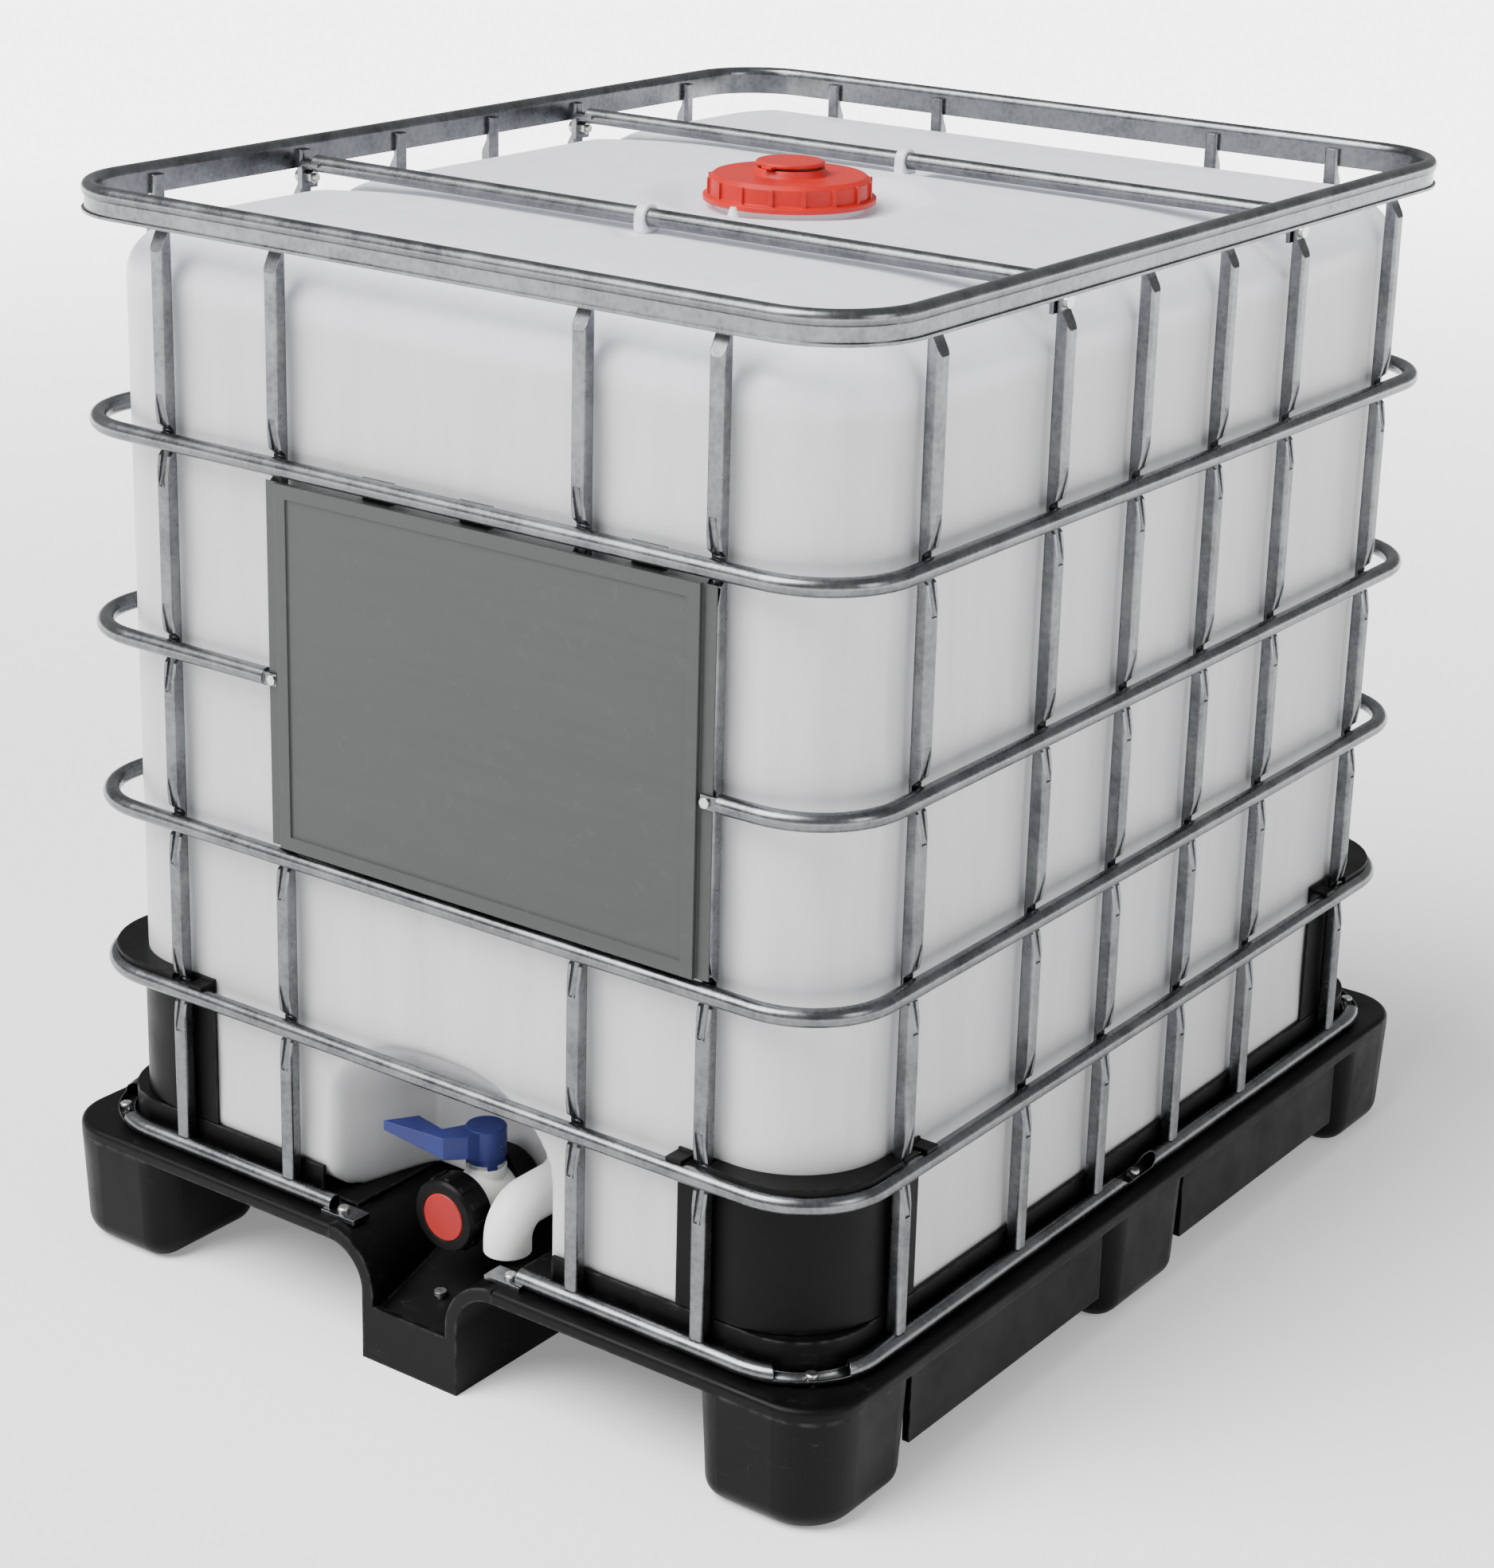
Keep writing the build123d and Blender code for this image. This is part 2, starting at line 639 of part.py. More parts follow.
def label_plate():
    """Pressed plate between two hoops: side flanges on the uprights and a raised panel."""
    face = -upright_y - upright_half
    z0 = hoop_z[1] + tube_radius + plate_gap
    z1 = hoop_z[3] - tube_radius - plate_gap
    x0 = plate_left()
    x1 = plate_right()
    flange = block(x0, x1, face - plate_sheet, face, z0, z1)
    edge = plate_side_flange
    outer = block(x0 + edge, x1 - edge, face - plate_rise, face, z0, z1)
    inner = block(x0 + edge + plate_sheet, x1 - edge - plate_sheet, face - plate_rise + plate_sheet,
                  face + 1, z0 + plate_sheet, z1 - plate_sheet)
    field = block(x0 + edge + 14, x1 - edge - 14, face - plate_rise - 1, face - plate_rise + 2,
                  z0 + 14, z1 - 14)
    pan = block(x0 + edge + 14 - plate_sheet, x1 - edge - 14 + plate_sheet,
                face - plate_rise, face - plate_rise + 2 + plate_sheet,
                z0 + 14 - plate_sheet, z1 - 14 + plate_sheet)
    plate = (flange + outer - inner) + pan - field
    tab_y = -hoop_y + tube_radius
    for x in (-60.0, 60.0, 260.0):
        for z, way in ((z1, 1), (z0, -1)):
            shelf = block(x - 20, x + 20, face - plate_sheet, tab_y + plate_sheet,
                          *sorted((z, z - way * plate_sheet)))
            tab = block(x - 20, x + 20, tab_y, tab_y + plate_sheet,
                        *sorted((z - way * plate_sheet, z + way * (plate_gap + 16))))
            plate = plate + shelf + tab
    holes = [cylinder_y(2.6, face - 5, face + 5, x, hoop_z[2]) for x in (x0 + 6, x1 - 6)]
    return plate - holes


def plate_rivets():
    """Two rivets that join the cut hoop's ends to the plate."""
    face = -upright_y - upright_half
    seat = face - plate_sheet - 3
    rivets = []
    for x in (plate_left() + 6, plate_right() - 6):
        shank = cylinder_y(2.5, seat - 0.5, face, x, hoop_z[2])
        rivets.append(shank + cylinder_y(5.0, seat - 2.4, seat, x, hoop_z[2]))
    return rivets


def corner_guard():
    """Corner guard at +X +Y: a thin shell round the bottle's corner that hooks over the lowest hoop."""
    gap = 0.6
    wall = 2.6
    z0 = deck_top_z + kerb_height + 1
    z1 = hoop_z[0] + tube_radius + 6
    inner_x = bottle_x + gap
    inner_y = bottle_y + gap
    shell = rounded_prism(inner_x + wall, inner_y + wall, bottle_corner_radius + gap + wall, z0, z1)
    shell -= rounded_prism(inner_x, inner_y, bottle_corner_radius + gap, z0 - 1, z1 + 1)
    x_end = front_upright_x[1] - 36
    y_end = side_upright_y[2] - 44
    keep = block(x_end, half_width, y_end, half_length, z0 - 1, z1 + 1)
    shell = shell & keep
    z_seat = hoop_z[0] + tube_radius
    flare = rounded_prism(hoop_x, hoop_y, hoop_corner_radius, z_seat, z1)
    flare -= rounded_prism(inner_x, inner_y, bottle_corner_radius + gap, z_seat - 1, z1 + 1)
    flare = flare & block(front_upright_x[1] + upright_half + 1, half_width,
                          side_upright_y[2] + upright_half + 1, half_length, z_seat - 1, z1 + 1)
    guard = shell + flare
    front_hook = block(x_end, x_end + 18, inner_y + wall - 1, hoop_y + 4, z_seat, z_seat + 4)
    front_hook += block(x_end, x_end + 18, inner_y, inner_y + wall, z_seat - 4, z_seat + 4)
    side_hook = block(inner_x + wall - 1, hoop_x + 4, y_end, y_end + 18, z_seat, z_seat + 4)
    return guard + front_hook + side_hook


# ------------------------------------------------------------------ bottle
def bottle_form(inset):
    """The bottle's outer form, or its inner form when inset is the wall."""
    z0 = deck_top_z + inset
    z1 = bottle_top_z - inset
    body = rounded_prism(bottle_x - inset, bottle_y - inset, bottle_corner_radius - inset, z0, z1)
    body = fillet(body.faces().sort_by(Axis.Z)[-1].edges(), bottle_top_radius - inset)
    body = fillet(body.faces().sort_by(Axis.Z)[0].edges(), bottle_bottom_radius - inset)
    front = -bottle_y
    half = recess_half_width + inset
    spring = deck_top_z + recess_spring_rise
    crown = deck_top_z + recess_top_rise + inset
    back = front + recess_depth + inset
    arch = block(-half, half, front - 20, back, deck_top_z - 20, spring)
    dome = Pos(0, (front - 20 + back) / 2, spring) * Rot(90, 0, 0) * extrude(
        Ellipse(half, crown - spring), (back - front + 20) / 2, both=True)
    slope = profile_x([(front - 21, deck_top_z - 30), (back, deck_top_z - 30), (back, spring - 10),
                       (front, crown), (front - 21, crown + 18)], -half - 1, half + 1)
    cut = (arch + dome) & slope
    body -= cut
    well = cylinder_z(neck_well_radius + inset, bottle_top_z - neck_well_depth - inset, bottle_top_z + 1)
    body -= well
    half = bar_groove_half_width + inset
    for sign in (-1, 1):
        body -= block(-bottle_x, bottle_x, sign * crossbar_y - half, sign * crossbar_y + half,
                      bottle_top_z - bar_groove_depth - inset, bottle_top_z + 1)
    return body


def bottle_neck():
    """The filling neck, welded on the bottle's top."""
    well_z = bottle_top_z - neck_well_depth
    return ring_z(neck_outer_radius, neck_inner_radius, well_z - bottle_wall, well_z + neck_height)


def bottle_outlet():
    """The outlet neck low in the recess, with the sump wall behind it."""
    back = -bottle_y + recess_depth
    tube = cylinder_y(outlet_outer_radius, back - outlet_length, back + 12, 0, valve_z)
    bore_end = back + 12 - bottle_wall
    tube = tube - cylinder_y(valve_bore_radius + 1, back - outlet_length - 1, bore_end, 0, valve_z)
    return tube - bottle_form(bottle_wall)


def bottle_levels():
    """The bottle's walls above the recess are two bands: side and top."""
    return {
        "bottle_side": (bottle_base_top_z, bottle_top_z - bottle_top_radius - 6),
        "bottle_top": (bottle_top_z - bottle_top_radius - 6, overall_height + 100),
    }


def recess_block():
    """The part of the lowest band that holds the walls of the valve recess."""
    half = recess_half_width + recess_margin
    return block(-half, half, -half_length, -bottle_y + recess_depth + recess_margin, 0, bottle_base_top_z)


def bottle_band(shell, z0, z1):
    """One band of the bottle's wall."""
    return shell & block(-half_width, half_width, -half_length, half_length, z0, z1)


def bottle_shell():
    """The bottle's even wall, open at the neck and the outlet."""
    back = -bottle_y + recess_depth
    shell = bottle_form(0) - bottle_form(bottle_wall)
    shell = shell - cylinder_z(neck_outer_radius, bottle_top_z - 60, bottle_top_z + 60)
    return shell - cylinder_y(outlet_outer_radius, back - outlet_length, back + 12, 0, valve_z)


def spout_spigot():
    """Spigot in the recess that the stowed spout is pushed on."""
    back = -bottle_y + recess_depth
    return cylinder_y(spout_radius - spout_wall - 0.5, back - spigot_length, back, spout_x, spout_leg_z())


def bar_hooks():
    """Moulded loops on the bottle's top that hold the crossbars."""
    hooks = []
    low = hook_x - hook_half_width
    high = hook_x + hook_half_width
    floor = bottle_top_z - bar_groove_depth
    for sign in (-1, 1):
        y = sign * crossbar_y
        hook = block(low, high, y - hook_radius, y + hook_radius, floor, crossbar_z)
        hook += cylinder_x(hook_radius, low, high, y, crossbar_z)
        hooks.append(hook - cylinder_x(crossbar_diameter / 2 + 0.3, low - 1, high + 1, y, crossbar_z))
    return hooks


def neck_lug():
    """Small cone beside the neck that stops the lid."""
    return Pos(10, -lid_flange_radius - 22, bottle_top_z - neck_well_depth + 8) * Cone(8, 3, 16)


# ------------------------------------------------------------------ lid
def lid_levels():
    """Heights of the neck's mouth and of the lid's underside."""
    mouth = bottle_top_z - neck_well_depth + neck_height
    return mouth, mouth + gasket_thickness + 0.2


def lid():
    """Screw lid: ribbed skirt, bottom flange, flat top and a raised boss for the vent plug."""
    mouth, under = lid_levels()
    inner = neck_outer_radius + lid_clearance
    foot_z = mouth - 20
    top = under + lid_wall
    body = turned([
        (0, under), (inner, under), (inner, foot_z), (lid_flange_radius, foot_z),
        (lid_flange_radius, foot_z + 5), (lid_skirt_radius, foot_z + 7), (lid_skirt_radius, top - 4),
        (lid_skirt_radius - 5, top), (0, top)])
    boss = vent_flange_radius + 3
    body += turned([(0, under), (boss, under), (boss, top), (boss - 3, top + 7), (0, top + 7)])
    rib_height = top - 4 - (foot_z + 6)
    for i in range(lid_rib_count):
        rib = Pos(lid_skirt_radius, 0, foot_z + 6 + rib_height / 2) * Box(5, 4.5, rib_height)
        body += Rot(0, 0, 360 / lid_rib_count * i) * rib
    return body - cylinder_z(vent_thread_radius + 0.4, under - 1, top + 20)


def vent_levels():
    """Height of the boss that the vent plug's gasket sits on."""
    under = lid_levels()[1]
    return under + lid_wall + 7


def vent_plug():
    """Vent plug: flanged cap with a threaded shank into the lid."""
    seat = vent_levels() + 1.5
    plug = turned([
        (0, seat - 16), (vent_thread_radius, seat - 16), (vent_thread_radius, seat),
        (vent_flange_radius - 3, seat), (vent_flange_radius, seat + 1.5),
        (vent_flange_radius, seat + 4), (vent_flange_radius - 2, seat + 5.5), (0, seat + 5.5)])
    plug -= cylinder_z(vent_thread_radius - 3, seat - 17, seat - 1)
    return plug + block(-6, 6, -vent_flange_radius - 7, -vent_flange_radius + 4, seat + 0.5, seat + 3)


# ------------------------------------------------------------------ valve
def valve_places():
    """Y of the bottle outlet's face, the valve's inlet face, the stem and the valve's mouth."""
    outlet_face = -bottle_y + recess_depth - outlet_length
    inlet = outlet_face - 3
    return outlet_face, inlet, inlet - stem_from_face, inlet - valve_length


def valve_body():
    """Valve body: inlet flange, barrel, threaded outlet and the bonnet for the stem."""
    outlet_face, inlet, stem_y, mouth = valve_places()
    bonnet_top = valve_z + handle_top_rise - handle_height - 2
    body = cylinder_y(outlet_outer_radius, mouth + 28, inlet, 0, valve_z)
    body = body + cylinder_y(33.5, inlet - 5, inlet, 0, valve_z)
    body = body + cylinder_y(valve_thread_radius, mouth, mouth + 28, 0, valve_z)
    body = body + cylinder_z(16, valve_z, bonnet_top, 0, stem_y)
    body = body + cylinder_z(21, valve_z, valve_z + 34, 0, stem_y)
    body = body - cylinder_y(valve_bore_radius, mouth - 1, inlet + 1, 0, valve_z)
    body = body - cylinder_y(valve_bore_radius + 2.5, stem_y - 9, stem_y + 9, 0, valve_z)
    body = body - cylinder_z(stem_radius + 1.3, valve_z + 20, bonnet_top + 1, 0, stem_y)
    return body - cylinder_z(stem_radius + 0.05, valve_z - valve_bore_radius - 4, valve_z, 0, stem_y)


def seat_ring():
    """Rubber seat in the valve's bore."""
    stem_y = valve_places()[2]
    ring = ring_y(valve_bore_radius + 2.45, valve_bore_radius, stem_y - 8.95, stem_y + 8.95, 0, valve_z)
    return ring - cylinder_z(stem_radius + 0.4, valve_z - 40, valve_z + 40, 0, stem_y)


def valve_disc():
    """Butterfly disc with the boss that the stem passes through."""
    stem_y = valve_places()[2]
    radius = valve_bore_radius - 0.35
    disc = cylinder_y(radius, stem_y - 2.5, stem_y + 2.5, 0, valve_z)
    boss = cylinder_z(8, valve_z - radius + 2, valve_z + radius - 2, 0, stem_y)
    return disc + boss - cylinder_z(stem_radius + 0.05, valve_z - 40, valve_z + 40, 0, stem_y)


def valve_stem():
    """Stem from the disc's lower bearing to the handle, square at the top."""
    stem_y = valve_places()[2]
    hub_bottom = valve_z + handle_top_rise - handle_height
    stem = cylinder_z(stem_radius, valve_z - valve_bore_radius - 2.5, hub_bottom + 2, 0, stem_y)
    stem += block(-3.5, 3.5, stem_y - 3.5, stem_y + 3.5, hub_bottom, hub_bottom + 22)
    stem -= cylinder_x(1.55, -20, 20, stem_y, hub_bottom + 12)
    for z in stem_seal_z():
        stem -= Pos(0, stem_y, z) * Torus(stem_radius + 0.2, 1.05)
    return stem


def stem_seal_z():
    """Heights of the two stem seals."""
    return (valve_z + valve_bore_radius + 6, valve_z + valve_bore_radius + 12)


def handle():
    """Lever: round hub on the stem, a short arm forward and a paddle cranked to the left."""
    stem_y = valve_places()[2]
    top = valve_z + handle_top_rise
    bottom = top - handle_height
    hub = cylinder_z(21, bottom, top, 0, stem_y)
    hub = fillet(hub.faces().sort_by(Axis.Z)[-1].edges(), 2)
    arm = make_face(Polyline((10, -12), (4, -33), (-13.6, -50.4), (-28.5, -34.4), (-16, -10), close=True))
    arm = Pos(0, stem_y, top - 25) * extrude(arm, 24)
    outline = make_face(Polyline((-13.6, -50.4), (-86.6, -57), (-66.5, -26.4), (-28.5, -34.4), close=True))
    paddle = Pos(0, stem_y, top - 24) * extrude(outline, 23)
    slope = Polyline((-13, top - 26), (-100, top - 40), (-100, top - 9), (-13, top - 24), close=True)
    under = Plane.XZ * make_face(slope)
    under = Pos(0, stem_y + 20, 0) * extrude(under, 100, dir=(0, -1, 0))
    lever = hub + arm + (paddle - under)
    lever -= block(-3.6, 3.6, stem_y - 3.6, stem_y + 3.6, bottom - 1, bottom + 23)
    lever -= cylinder_z(stem_radius + 0.4, bottom - 1, bottom + 2.4, 0, stem_y)
    return lever - cylinder_x(1.6, -30, 30, stem_y, bottom + 12)


def handle_pin():
    """Cross pin that keeps the handle on the stem."""
    stem_y = valve_places()[2]
    z = valve_z + handle_top_rise - handle_height + 12
    return cylinder_x(1.5, -20, 20, stem_y, z)


def lock_clip():
    """Safety clip under the hub: a ring round the bonnet with two hanging tabs."""
    stem_y = valve_places()[2]
    top = valve_z + handle_top_rise - handle_height
    clip = ring_z(20, 16.6, top - 7, top, 0, stem_y)
    for angle in (205, 330):
        tab = Pos(0, stem_y, 0) * Rot(0, 0, angle) * block(16.8, 20.0, -5, 5, top - 11.5, top - 5)
        clip += tab
    return clip


def cap_ring():
    """Ribbed screw cap ring on the valve's outlet."""
    mouth = valve_places()[3]
    front = mouth - 7.5
    ring = cylinder_y(cap_ring_radius, front, front + cap_ring_length, 0, valve_z)
    ring = chamfer(ring.faces().sort_by(Axis.Y)[0].edges(), 3)
    for i in range(12):
        place = Pos(0, front + cap_ring_length / 2 + 2, valve_z) * Rot(0, 30 * i, 0)
        ring += place * Pos(cap_ring_radius, 0, 0) * Box(3.5, cap_ring_length - 8, 6)
    ring -= cylinder_y(30.5, mouth - 5, front + cap_ring_length + 1, 0, valve_z)
    return ring - cylinder_y(25.6, front - 1, mouth, 0, valve_z)


def cap_disc():
    """Dust disc held in the cap ring, its face showing at the front."""
    mouth = valve_places()[3]
    disc = cylinder_y(30.0, mouth - 4.9, mouth - 2.2, 0, valve_z)
    face = cylinder_y(25.2, mouth - 8.0, mouth - 4, 0, valve_z)
    face = chamfer(face.faces().sort_by(Axis.Y)[0].edges(), 1)
    return disc + face


def coupling_nut():
    """Union nut that clamps the valve's flange on the bottle's outlet."""
    outlet_face, inlet, stem_y, mouth = valve_places()
    back = outlet_face + 15
    front = inlet - 9.5
    nut = cylinder_y(40, front, back, 0, valve_z)
    nut = chamfer(nut.edges().filter_by(GeomType.CIRCLE), 2)
    nut -= cylinder_y(outlet_outer_radius + 0.3, inlet - 1, back + 1, 0, valve_z)
    nut -= cylinder_y(33.8, inlet - 5.3, outlet_face, 0, valve_z)
    nut -= cylinder_y(outlet_outer_radius + 0.3, front - 1, inlet, 0, valve_z)
    for i in range(8):
        nut -= Pos(0, (front + back) / 2, valve_z) * Rot(0, 45 * i, 0) * Pos(41.5, 0, 0) * Box(5, 60, 10)
    return nut - cylinder_z(21.6, valve_z, valve_z + 60, 0, stem_y)


def spout_leg_z():
    """Height of the spout's straight leg: its mouth clears the bottom rail's tongue."""
    return deck_top_z + 0.5 + spout_mouth_length + spout_bend_radius


def elbow_spout():
    """Elbow spout: a straight leg along Y, a bend and a short mouth that points down."""
    z_leg = spout_leg_z()
    z_mouth = z_leg - spout_bend_radius - spout_mouth_length
    y_mouth = valve_places()[3] + 6
    y_bend = y_mouth + spout_bend_radius
    y_end = -bottle_y + recess_depth - 6
    path = Wire([
        Line((spout_x, y_end, z_leg), (spout_x, y_bend, z_leg)).edges()[0],
        ThreePointArc((spout_x, y_bend, z_leg),
                      (spout_x, y_bend - spout_bend_radius * math.sin(math.pi / 4),
                       z_leg - spout_bend_radius * (1 - math.cos(math.pi / 4))),
                      (spout_x, y_mouth, z_leg - spout_bend_radius)).edges()[0],
        Line((spout_x, y_mouth, z_leg - spout_bend_radius), (spout_x, y_mouth, z_mouth)).edges()[0],
    ])
    plane = Plane(path @ 0, z_dir=path % 0)
    outer = sweep(plane * Circle(spout_radius), path)
    outer += cylinder_y(spout_radius + spout_flange, y_end - 14, y_end, spout_x, z_leg)
    return outer - sweep(plane * Circle(spout_radius - spout_wall), path)


def build_all():
    """Write every node."""
    os.makedirs("parts", exist_ok=True)
    save("pallet_deck", deck())
    save("pallet_trough", trough())
    save("pallet_feet", feet())
    save("pallet_skirts", skirts())
    save("trough_screw", trough_screw())
    save("bottom_rail", bottom_rail())
    save("bottom_rail_screws", rail_screws())
    kinds = upright_kinds()
    for side in ("front", "rear", "left", "right"):
        save(f"uprights_{side}", uprights(side, kinds))
    save("hoop_lower", closed_hoop(hoop_z[0]))
    save("hoop_second", closed_hoop(hoop_z[1]))
    save("hoop_third", cut_hoop(hoop_z[2]))
    save("hoop_upper", closed_hoop(hoop_z[3]))
    save("top_rail", top_rail())
    save("crossbar_front", crossbar(-1))
    save("crossbar_rear", crossbar(1))
    save("crossbar_bolts", crossbar_bolts())
    save("crossbar_nuts", crossbar_nuts())
    save("label_plate", label_plate())
    save("plate_rivets", plate_rivets())
    names = ("rear_right", "rear_left", "front_right", "front_left")
    for name, guard in zip(names, four_corners(corner_guard())):
        save(f"corner_guard_{name}", guard)
    shell = bottle_shell()
    low_band = bottle_band(shell, 0, bottle_base_top_z)
    save("bottle_front", low_band & recess_block())
    save("bottle_base", low_band - recess_block())
    for name, (z0, z1) in bottle_levels().items():
        save(name, bottle_band(shell, z0, z1))
    save("bottle_neck", bottle_neck())
    save("bottle_outlet", bottle_outlet())
    save("bar_hooks", bar_hooks())
    save("neck_lug", neck_lug())
    save("spout_spigot", spout_spigot())
    mouth, under = lid_levels()
    save("lid", lid())
    save("lid_gasket", ring_z(neck_outer_radius, neck_inner_radius, mouth + 0.1, under))
    save("vent_plug", vent_plug())
    seat = vent_levels()
    save("vent_gasket", ring_z(vent_flange_radius - 4, vent_thread_radius + 0.6, seat, seat + 1.5))
    outlet_face, inlet, stem_y, mouth_y = valve_places()
    save("valve_gasket", ring_y(outlet_outer_radius, valve_bore_radius + 1, inlet, outlet_face, 0, valve_z))
    save("coupling_nut", coupling_nut())
    save("valve_body", valve_body())
    save("valve_seat", seat_ring())
    save("valve_disc", valve_disc())
    save("valve_stem", valve_stem())
    save("stem_seals", [Pos(0, stem_y, z) * Torus(stem_radius + 0.2, 1.0) for z in stem_seal_z()])
    save("handle", handle())
    save("handle_pin", handle_pin())
    save("lock_clip", lock_clip())
    save("cap_ring", cap_ring())
    save("cap_disc", cap_disc())
    save("cap_gasket", ring_y(29.6, valve_bore_radius, mouth_y - 2.1, mouth_y - 0.1, 0, valve_z))
    save("elbow_spout", elbow_spout())


build_all()
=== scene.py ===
"""Looks for the intermediate bulk container: materials, the bottle's skin, stage, lights and camera."""
import json
import math
import bpy
import numpy as np
from mathutils import Matrix, Vector


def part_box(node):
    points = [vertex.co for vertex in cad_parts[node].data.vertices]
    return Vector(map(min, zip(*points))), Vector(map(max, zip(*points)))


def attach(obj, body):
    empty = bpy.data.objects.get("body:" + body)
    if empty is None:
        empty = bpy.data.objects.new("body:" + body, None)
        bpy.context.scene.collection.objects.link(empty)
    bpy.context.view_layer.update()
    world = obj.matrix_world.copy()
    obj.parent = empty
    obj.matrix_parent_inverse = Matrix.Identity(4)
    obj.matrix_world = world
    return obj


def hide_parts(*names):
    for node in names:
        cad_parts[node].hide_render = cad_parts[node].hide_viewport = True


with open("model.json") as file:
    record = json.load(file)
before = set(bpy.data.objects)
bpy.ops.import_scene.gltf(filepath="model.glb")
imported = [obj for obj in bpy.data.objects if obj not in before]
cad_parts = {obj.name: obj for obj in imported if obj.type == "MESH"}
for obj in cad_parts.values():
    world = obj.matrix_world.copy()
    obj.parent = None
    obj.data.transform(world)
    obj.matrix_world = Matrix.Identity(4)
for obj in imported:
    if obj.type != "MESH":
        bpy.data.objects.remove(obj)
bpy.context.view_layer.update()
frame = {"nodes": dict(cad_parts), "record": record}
nodes = frame["nodes"]


# ------------------------------------------------------------------ material helpers
class Nodes:
    """A small builder for one material's node tree in object coordinates."""

    def __init__(self, name):
        self.material = bpy.data.materials.new(name)
        self.material.use_nodes = True
        self.tree = self.material.node_tree
        self.tree.nodes.clear()
        self.out = self.add("ShaderNodeOutputMaterial")
        self.shader = self.add("ShaderNodeBsdfPrincipled")
        self.link(self.shader.outputs[0], self.out.inputs[0])
        self.place = self.add("ShaderNodeTexCoord").outputs["Object"]

    def add(self, kind):
        """A new node of this kind."""
        return self.tree.nodes.new(kind)

    def link(self, a, b):
        """Join output a to input b."""
        self.tree.links.new(a, b)

    def set(self, name, value):
        """Set one socket of the shader, or link a socket into it."""
        socket = self.shader.inputs[name]
        if isinstance(value, bpy.types.NodeSocket):
            self.link(value, socket)
        else:
            socket.default_value = value

    def noise(self, scale, detail=4.0, rough=0.55, stretch=(1, 1, 1), distortion=0.0):
        """A noise value; stretch multiplies the coordinates along each axis."""
        mapping = self.add("ShaderNodeMapping")
        mapping.inputs["Scale"].default_value = stretch
        self.link(self.place, mapping.inputs["Vector"])
        node = self.add("ShaderNodeTexNoise")
        node.inputs["Scale"].default_value = scale
        node.inputs["Detail"].default_value = detail
        node.inputs["Roughness"].default_value = rough
        node.inputs["Distortion"].default_value = distortion
        self.link(mapping.outputs[0], node.inputs["Vector"])
        return node.outputs["Fac"]

    def cells(self, scale):
        """The distance from the middle of the nearest of many small cells."""
        node = self.add("ShaderNodeTexVoronoi")
        node.inputs["Scale"].default_value = scale
        self.link(self.place, node.inputs["Vector"])
        return node.outputs["Distance"]

    def curve(self, value, points):
        """A piecewise-linear curve through (position, level) points."""
        ramp = self.add("ShaderNodeValToRGB")
        stops = ramp.color_ramp.elements
        while len(stops) < len(points):
            stops.new(0.5)
        for stop, (position, level) in zip(stops, points):
            stop.position = position
            colour = level if isinstance(level, tuple) else (level, level, level)
            stop.color = (*colour, 1.0)
        self.link(value, ramp.inputs["Fac"])
        return ramp.outputs["Color"]

    def mix(self, fac, a, b):
        """Mix two colours: a where fac is 0, b where it is 1."""
        node = self.add("ShaderNodeMix")
        node.data_type = "RGBA"
        for socket, value in ((node.inputs[0], fac), (node.inputs[6], a), (node.inputs[7], b)):
            if isinstance(value, bpy.types.NodeSocket):
                self.link(value, socket)
            elif isinstance(value, tuple):
                socket.default_value = (*value, 1.0)
            else:
                socket.default_value = value
        return node.outputs[2]

    def math(self, kind, a, b):
        """One operation on two values."""
        node = self.add("ShaderNodeMath")
        node.operation = kind
        for socket, value in zip(node.inputs, (a, b)):
            if isinstance(value, bpy.types.NodeSocket):
                self.link(value, socket)
            else:
                socket.default_value = value
        return node.outputs[0]

    def axis(self, index):
        """One coordinate of the object's place, in metres."""
        node = self.add("ShaderNodeSeparateXYZ")
        self.link(self.place, node.inputs[0])
        return node.outputs[index]

    def edges(self, distance, low_at, high_at):
        """Convex edges as a value from 0 to 1, from a small bevel of the normal."""
        bevel = self.add("ShaderNodeBevel")
        bevel.samples = 6
        bevel.inputs["Radius"].default_value = distance
        geometry = self.add("ShaderNodeNewGeometry")
        dot = self.add("ShaderNodeVectorMath")
        dot.operation = "DOT_PRODUCT"
        self.link(bevel.outputs[0], dot.inputs[0])
        self.link(geometry.outputs["Normal"], dot.inputs[1])
        return self.curve(self.math("SUBTRACT", 1.0, dot.outputs["Value"]), [(low_at, 0.0), (high_at, 1.0)])

    def bump(self, height, strength, distance):
        """Add a bump to the shading, on top of the bumps already there."""
        node = self.add("ShaderNodeBump")
        node.inputs["Strength"].default_value = strength
        node.inputs["Distance"].default_value = distance
        self.link(height, node.inputs["Height"])
        if self.shader.inputs["Normal"].is_linked:
            self.link(self.shader.inputs["Normal"].links[0].from_socket, node.inputs["Normal"])
        self.link(node.outputs[0], self.shader.inputs["Normal"])


def soft_edges(m, radius):
    """Round the shading of hard edges."""
    bevel = m.add("ShaderNodeBevel")
    bevel.samples = 6
    bevel.inputs["Radius"].default_value = radius
    m.link(bevel.outputs[0], m.shader.inputs["Normal"])


